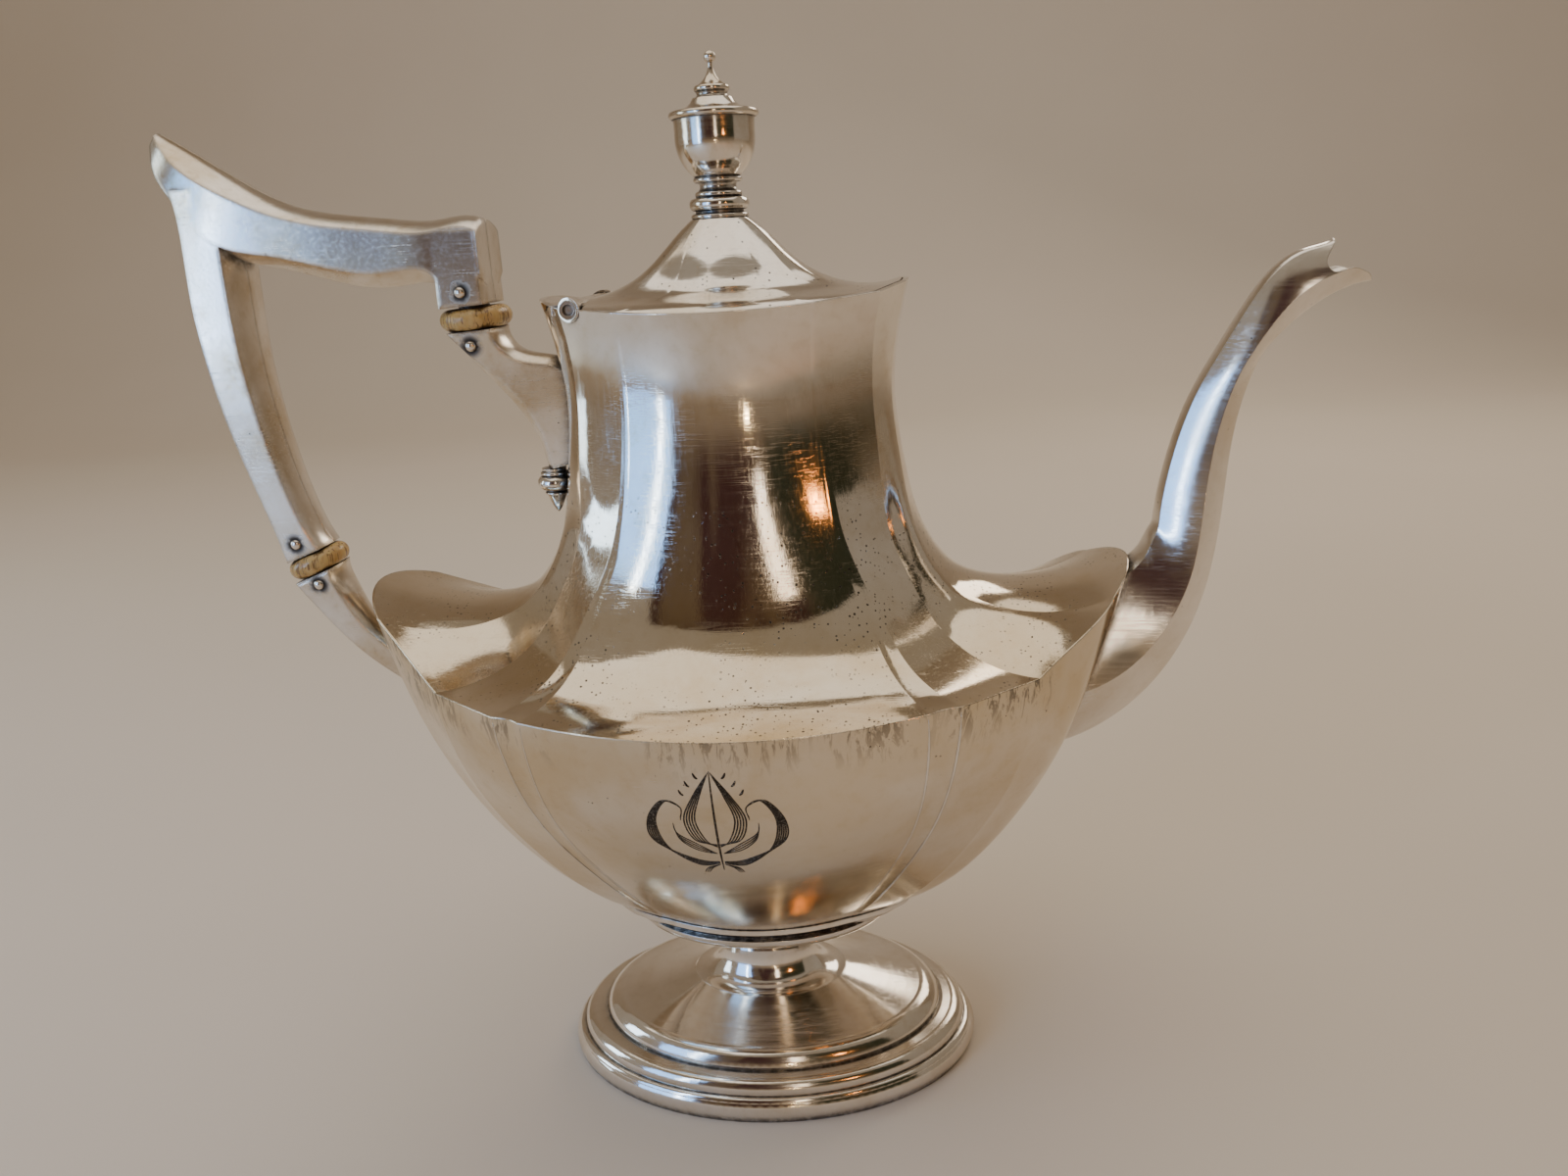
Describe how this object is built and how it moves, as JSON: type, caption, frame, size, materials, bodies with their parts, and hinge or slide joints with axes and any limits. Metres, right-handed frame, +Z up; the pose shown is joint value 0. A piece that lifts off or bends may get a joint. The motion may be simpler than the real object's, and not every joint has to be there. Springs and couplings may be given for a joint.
{
  "type": "coffee pot",
  "caption": "Footed silver coffee pot with a panelled bowl and neck, a swan spout, a hinged lid with an urn finial and an angular handle set off by insulating collars.",
  "frame": {"origin": "on the pot's upright axis, in the plane that the foot rests on", "axes": "+X towards the spout, +Z up, y = 0 is the pot's long plane of symmetry"},
  "size_m": [0.2718, 0.123, 0.248],
  "materials": {
    "polished_silver": "polished silver with fine scratches and light tarnish",
    "ivory": "aged ivory-coloured collar with dark growth lines",
    "hinge_silver": "worn silver",
    "inner_silver": "dull unpolished silver"
  },
  "bodies": {
    "pot": {"body_neck": "polished_silver", "body_bowl": "polished_silver", "foot_ring": "polished_silver", "foot_step": "polished_silver", "foot_dome": "polished_silver", "foot_stem": "polished_silver", "bowl_base": "polished_silver", "spout": "polished_silver", "handle_front_half": "polished_silver", "handle_back_half": "polished_silver", "upper_insulator": "ivory", "lower_insulator": "ivory", "upper_socket": "polished_silver", "socket_drop": "polished_silver", "lower_socket": "polished_silver", "dowel_pins": "hinge_silver", "hinge_plate": "polished_silver", "fixed_knuckles": "hinge_silver", "hinge_pin": "hinge_silver", "lid_seat": "inner_silver"},
    "lid": {"lid_shell": "polished_silver", "lid_bezel": "inner_silver", "lid_knuckles": "hinge_silver", "finial_collar": "polished_silver", "finial_urn": "polished_silver", "finial_cap": "polished_silver", "finial_stud": "inner_silver", "finial_washer": "inner_silver", "finial_nut": "inner_silver"}
  },
  "joints": [
    {"name": "lid_hinge", "type": "hinge", "parent": "pot", "child": "lid", "pos_m": [-0.0323, 0, 0.1958], "axis": [0, -1, 0], "range_deg": [0, 85]}
  ]
}
